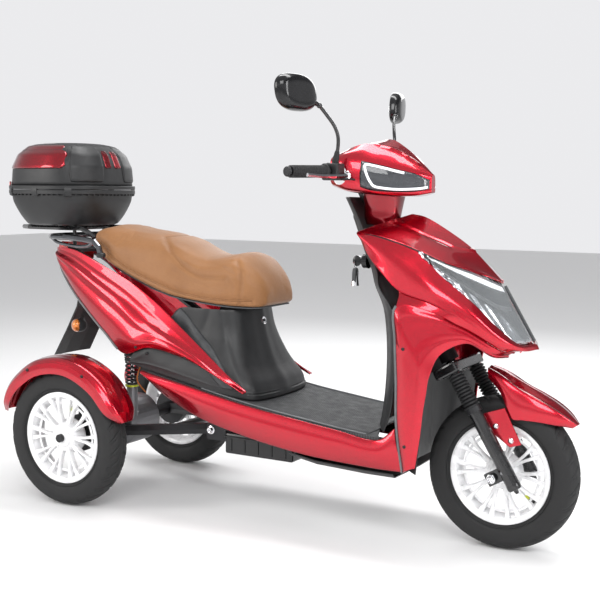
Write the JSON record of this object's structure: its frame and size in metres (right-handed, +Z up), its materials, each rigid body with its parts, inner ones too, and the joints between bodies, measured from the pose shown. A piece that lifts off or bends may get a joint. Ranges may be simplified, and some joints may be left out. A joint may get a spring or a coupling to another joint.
{
  "type": "electric mobility scooter",
  "caption": "Moped-style electric mobility scooter with sprung front fork and rear swing arm, padded seat on a pedestal, rear top box and mirrors.",
  "frame": {"origin": "on the ground, under the middle of the scooter's outline", "axes": "+X forwards, +Y to the rider's left, +Z up"},
  "size_m": [1.9144, 0.7612, 1.2693],
  "materials": {
    "candy_red_paint": "candy metallic red with clear coat",
    "black_moulding": "fine-grained black moulding",
    "floor_rubber": "fine hatched mat",
    "tan_seat_cover": "soft padded cover",
    "tyre_rubber": "matt, grooved tread",
    "white_rim_paint": "white gloss paint on cast alloy",
    "black_painted_steel": "semi-gloss black",
    "bright_steel": "polished",
    "clear_lens": "clear moulded lens",
    "red_lens": "clear red",
    "mirror_housing": "satin black",
    "seat_pan_plastic": "rough moulded",
    "black_spring_steel": "black lacquer",
    "cast_alloy": "dark cast alloy",
    "grip_rubber": "ribbed"
  },
  "bodies": {
    "chassis": {"main_frame": "black_painted_steel", "battery_case": "black_moulding", "box_rack": "black_painted_steel", "floorboard": "floor_rubber", "front_fairing": "candy_red_paint", "grab_rail": "black_painted_steel", "headlight": "clear_lens", "inner_shield": "black_moulding", "leg_shield_left": "candy_red_paint", "leg_shield_right": "candy_red_paint", "pedestal_cover": "black_moulding", "plate_bracket": "black_moulding", "side_panel_left": "candy_red_paint", "side_panel_right": "candy_red_paint", "side_skirt_left": "candy_red_paint", "side_skirt_right": "candy_red_paint", "tail_lamp": "red_lens", "top_box_tub": "black_moulding", "under_tray": "black_moulding", "wheel_arch_liner": "black_moulding", "shock_rod_left": "bright_steel", "shock_rod_right": "bright_steel", "shock_spring_left": "black_spring_steel", "shock_spring_right": "black_spring_steel"},
    "box_lid": {"top_box_lid": "black_moulding"},
    "seat": {"seat_cushion": "tan_seat_cover", "seat_pan": "seat_pan_plastic"},
    "steering": {"steering_stem": "black_painted_steel", "handlebar": "black_painted_steel", "handlebar_cowl": "candy_red_paint", "switch_block_left": "black_moulding", "switch_block_right": "black_moulding", "grip_left": "grip_rubber"},
    "throttle": {"throttle_grip": "grip_rubber"},
    "lever_left": {"brake_lever_left": "bright_steel"},
    "lever_right": {"brake_lever_right": "bright_steel"},
    "mirror_arm_left": {"mirror_stem_left": "black_painted_steel"},
    "mirror_arm_right": {"mirror_stem_right": "black_painted_steel"},
    "mirror_left": {"mirror_head_left": "mirror_housing"},
    "mirror_right": {"mirror_head_right": "mirror_housing"},
    "fork_lowers": {"fork_leg_left": "black_painted_steel", "fork_leg_right": "black_painted_steel", "front_axle": "bright_steel", "front_fender": "candy_red_paint"},
    "front_wheel": {"front_rim": "white_rim_paint", "front_tyre": "tyre_rubber"},
    "swing_arm": {"swing_arm": "black_painted_steel", "drive_motor": "cast_alloy", "rear_fender_left": "candy_red_paint", "rear_fender_right": "candy_red_paint"},
    "rear_wheel_left": {"rear_left_rim": "white_rim_paint", "rear_left_tyre": "tyre_rubber"},
    "rear_wheel_right": {"rear_right_rim": "white_rim_paint", "rear_right_tyre": "tyre_rubber"},
    "damper_left": {"shock_damper_left": "cast_alloy"},
    "damper_right": {"shock_damper_right": "cast_alloy"},
    "key": {"key": "mirror_housing"},
    "fob": {"key_fob": "mirror_housing"},
    "horn": {"horn_button": "candy_red_paint"},
    "indicator": {"indicator_switch": "floor_rubber"}
  },
  "joints": [
    {"name": "steering_turn", "type": "hinge", "parent": "chassis", "child": "steering", "pos_m": [0.75789, 0, 0.2172], "axis": [-0.515, 0, 0.8572], "range_deg": [-36, 36]},
    {"name": "fork_slide", "type": "slide", "parent": "steering", "child": "fork_lowers", "axis": [-0.515, 0, 0.8572], "range_m": [0, 0.045], "stiffness_N_per_m": 9000, "springref_m": -0.06},
    {"name": "front_wheel_turn", "type": "hinge", "parent": "fork_lowers", "child": "front_wheel", "pos_m": [0.74675, 0, 0.2105], "axis": [0, 1, 0], "continuous": true},
    {"name": "swing_arm_lift", "type": "hinge", "parent": "chassis", "child": "swing_arm", "pos_m": [-0.13025, 0, 0.2445], "axis": [0, 1, 0], "range_deg": [0, 7], "stiffness_Nm_per_rad": 1200, "springref_deg": -18.33, "deforming": ["shock_spring_left", "shock_spring_right"]},
    {"name": "rear_wheel_left_turn", "type": "hinge", "parent": "swing_arm", "child": "rear_wheel_left", "pos_m": [-0.54025, 0.297, 0.2105], "axis": [0, 1, 0], "continuous": true},
    {"name": "rear_wheel_right_turn", "type": "hinge", "parent": "swing_arm", "child": "rear_wheel_right", "pos_m": [-0.54025, -0.297, 0.2105], "axis": [0, 1, 0], "continuous": true},
    {"name": "damper_left_pivot", "type": "hinge", "parent": "swing_arm", "child": "damper_left", "pos_m": [-0.41225, 0.14598, 0.27311], "axis": [0, 1, 0], "range_deg": [-7, 0]},
    {"name": "damper_right_pivot", "type": "hinge", "parent": "swing_arm", "child": "damper_right", "pos_m": [-0.41225, -0.14598, 0.27311], "axis": [0, 1, 0], "range_deg": [-7, 0]},
    {"name": "seat_tilt", "type": "hinge", "parent": "chassis", "child": "seat", "pos_m": [0.04475, 0, 0.6085], "axis": [0, 1, 0], "range_deg": [0, 65]},
    {"name": "box_lid_open", "type": "hinge", "parent": "chassis", "child": "box_lid", "pos_m": [-0.58705, 0, 0.966], "axis": [0, 1, 0], "range_deg": [0, 80]},
    {"name": "throttle_twist", "type": "hinge", "parent": "steering", "child": "throttle", "pos_m": [0.30175, -0.19, 1.019], "axis": [-0.3259, -0.9452, -0.0163], "range_deg": [0, 60], "stiffness_Nm_per_rad": 0.3},
    {"name": "brake_lever_right_pull", "type": "hinge", "parent": "steering", "child": "lever_right", "pos_m": [0.34175, -0.16, 1.008], "axis": [0, 0, -1], "range_deg": [0, 11], "stiffness_Nm_per_rad": 1.2},
    {"name": "brake_lever_left_pull", "type": "hinge", "parent": "steering", "child": "lever_left", "pos_m": [0.34175, 0.16, 1.008], "axis": [0, 0, 1], "range_deg": [0, 11], "stiffness_Nm_per_rad": 1.2},
    {"name": "mirror_arm_left_swing", "type": "hinge", "parent": "steering", "child": "mirror_arm_left", "pos_m": [0.31025, 0.172, 1.0605], "axis": [0, 0, 1], "range_deg": [-20, 20]},
    {"name": "mirror_arm_right_swing", "type": "hinge", "parent": "steering", "child": "mirror_arm_right", "pos_m": [0.31025, -0.172, 1.0605], "axis": [0, 0, 1], "range_deg": [-20, 20]},
    {"name": "mirror_left_tilt", "type": "hinge", "parent": "mirror_arm_left", "child": "mirror_left", "pos_m": [0.29625, 0.238, 1.1913], "axis": [0, 1, 0], "range_deg": [-12, 12]},
    {"name": "mirror_right_tilt", "type": "hinge", "parent": "mirror_arm_right", "child": "mirror_right", "pos_m": [0.29625, -0.238, 1.1913], "axis": [0, 1, 0], "range_deg": [-12, 12]},
    {"name": "key_turn", "type": "hinge", "parent": "chassis", "child": "key", "pos_m": [0.35225, -0.05, 0.7705], "axis": [-1, 0, 0], "range_deg": [0, 60]},
    {"name": "fob_swing", "type": "hinge", "parent": "key", "child": "fob", "pos_m": [0.31425, -0.05, 0.7705], "axis": [0, 1, 0], "range_deg": [-25, 25]},
    {"name": "horn_press", "type": "slide", "parent": "steering", "child": "horn", "axis": [1, 0, 0], "range_m": [0, 0.0022], "stiffness_N_per_m": 250},
    {"name": "indicator_slide", "type": "slide", "parent": "steering", "child": "indicator", "axis": [0, 1, 0], "range_m": [-0.004, 0.004]}
  ],
  "couplings": [
    {"joint": "damper_left_pivot", "follows": "swing_arm_lift", "ratio": -1},
    {"joint": "damper_right_pivot", "follows": "swing_arm_lift", "ratio": -1}
  ]
}
